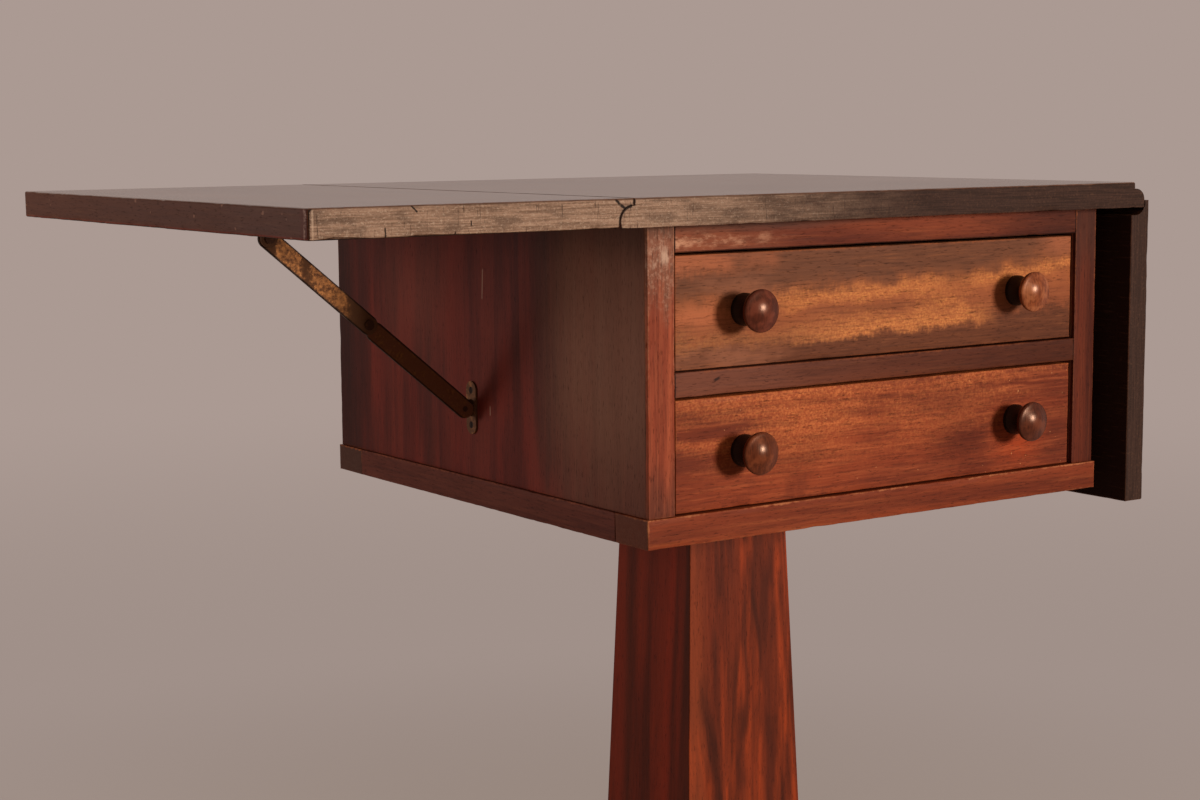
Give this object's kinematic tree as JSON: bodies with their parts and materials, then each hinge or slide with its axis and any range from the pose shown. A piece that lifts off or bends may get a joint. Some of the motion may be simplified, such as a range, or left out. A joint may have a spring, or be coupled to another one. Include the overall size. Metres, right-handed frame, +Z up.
{
  "type": "sewing table",
  "caption": "Pedestal sewing table: a case with drawers under a fixed top, rule-jointed drop leaves held by folding brass stays, and a tapered column on a platform base.",
  "frame": {"origin": "on the floor, under the middle of the whole table as it stands, with the left leaf raised and the right one hanging", "axes": "+X to the right of a person facing the drawers, +Y from the drawer fronts to the back, +Z up"},
  "size_m": [0.7402, 0.4912, 0.73],
  "materials": {
    "mahogany": "worn satin shellac on red-brown mahogany",
    "weathered_mahogany": "faded and worn grey-brown mahogany top",
    "drawer_veneer": "satin figured golden-brown veneer",
    "knob_wood": "polished dark turned wood",
    "secondary_wood": "bare planed softwood",
    "brass": "dull brass with dark patina",
    "steel_screws": "darkened slotted wood screws"
  },
  "bodies": {
    "carcase": {"back_base_rail": "mahogany", "bottom_board": "secondary_wood", "bun_feet": "mahogany", "case_back": "secondary_wood", "column_bearer": "secondary_wood", "column_collar": "mahogany", "drawer_divider": "mahogany", "drawer_runners": "secondary_wood", "drawer_stops": "secondary_wood", "fixed_top": "weathered_mahogany", "front_base_rail": "mahogany", "hinge_screws": "steel_screws", "left_base_rail": "mahogany", "left_case_side": "mahogany", "left_front_facing": "mahogany", "left_hinge_fixed_flaps": "brass", "left_hinge_pins": "brass", "left_stay_case_plate": "brass", "pedestal_column": "mahogany", "platform_base": "mahogany", "right_base_rail": "mahogany", "right_case_side": "mahogany", "right_front_facing": "mahogany", "right_hinge_fixed_flaps": "brass", "right_hinge_pins": "brass", "right_stay_case_plate": "brass", "stay_case_screws": "steel_screws", "top_back_rail": "secondary_wood", "top_front_rail": "mahogany", "top_kickers": "secondary_wood", "top_screws": "steel_screws"},
    "left_leaf": {"left_leaf": "weathered_mahogany", "left_hinge_leaf_flaps": "brass", "left_leaf_screws": "steel_screws", "left_stay_leaf_plate": "brass"},
    "left_lower_link": {"left_stay_lower_link": "brass", "left_stay_lower_rivets": "brass"},
    "left_upper_link": {"left_stay_upper_link": "brass", "left_stay_upper_rivets": "brass"},
    "right_leaf": {"right_leaf": "weathered_mahogany", "right_hinge_leaf_flaps": "brass", "right_leaf_screws": "steel_screws", "right_stay_leaf_plate": "brass"},
    "right_lower_link": {"right_stay_lower_link": "brass", "right_stay_lower_rivets": "brass"},
    "right_upper_link": {"right_stay_upper_link": "brass", "right_stay_upper_rivets": "brass"},
    "upper_drawer": {"upper_drawer_back": "secondary_wood", "upper_drawer_bottom": "secondary_wood", "upper_drawer_front": "drawer_veneer", "upper_drawer_left_knob": "knob_wood", "upper_drawer_right_knob": "knob_wood", "upper_drawer_sides": "secondary_wood"},
    "lower_drawer": {"lower_drawer_back": "secondary_wood", "lower_drawer_bottom": "secondary_wood", "lower_drawer_front": "drawer_veneer", "lower_drawer_left_knob": "knob_wood", "lower_drawer_right_knob": "knob_wood", "lower_drawer_sides": "secondary_wood"}
  },
  "joints": [
    {"name": "left_leaf_fold", "type": "hinge", "parent": "carcase", "child": "left_leaf", "pos_m": [-0.1309, 0.0031, 0.7146], "axis": [0, -1, 0], "range_deg": [0, 90]},
    {"name": "right_leaf_fold", "type": "hinge", "parent": "carcase", "child": "right_leaf", "pos_m": [0.3547, 0.0031, 0.7146], "axis": [0, -1, 0], "range_deg": [0, 90]},
    {"name": "left_lower_link_swing", "type": "hinge", "parent": "carcase", "child": "left_lower_link", "pos_m": [-0.1154, 0.0061, 0.5626], "axis": [0, -1, 0], "range_deg": [-50.2, 0]},
    {"name": "left_upper_link_swing", "type": "hinge", "parent": "left_leaf", "child": "left_upper_link", "pos_m": [-0.2789, 0.0061, 0.6991], "axis": [0, -1, 0], "range_deg": [0, 39.9]},
    {"name": "right_lower_link_swing", "type": "hinge", "parent": "carcase", "child": "right_lower_link", "pos_m": [0.3392, 0.0061, 0.5626], "axis": [0, -1, 0], "range_deg": [-50.2, 0]},
    {"name": "right_upper_link_swing", "type": "hinge", "parent": "right_leaf", "child": "right_upper_link", "pos_m": [0.3392, 0.0061, 0.5666], "axis": [0, -1, 0], "range_deg": [0, 39.9]},
    {"name": "upper_drawer_slide", "type": "slide", "parent": "carcase", "child": "upper_drawer", "axis": [0, -1, 0], "range_m": [0, 0.3]},
    {"name": "lower_drawer_slide", "type": "slide", "parent": "carcase", "child": "lower_drawer", "axis": [0, -1, 0], "range_m": [0, 0.3]}
  ],
  "couplings": [
    {"joint": "left_lower_link_swing", "follows": "left_leaf_fold", "ratio": -0.55714},
    {"joint": "left_upper_link_swing", "follows": "left_leaf_fold", "ratio": 0.44286},
    {"joint": "right_lower_link_swing", "follows": "right_leaf_fold", "ratio": -0.55714},
    {"joint": "right_upper_link_swing", "follows": "right_leaf_fold", "ratio": 0.44286}
  ]
}
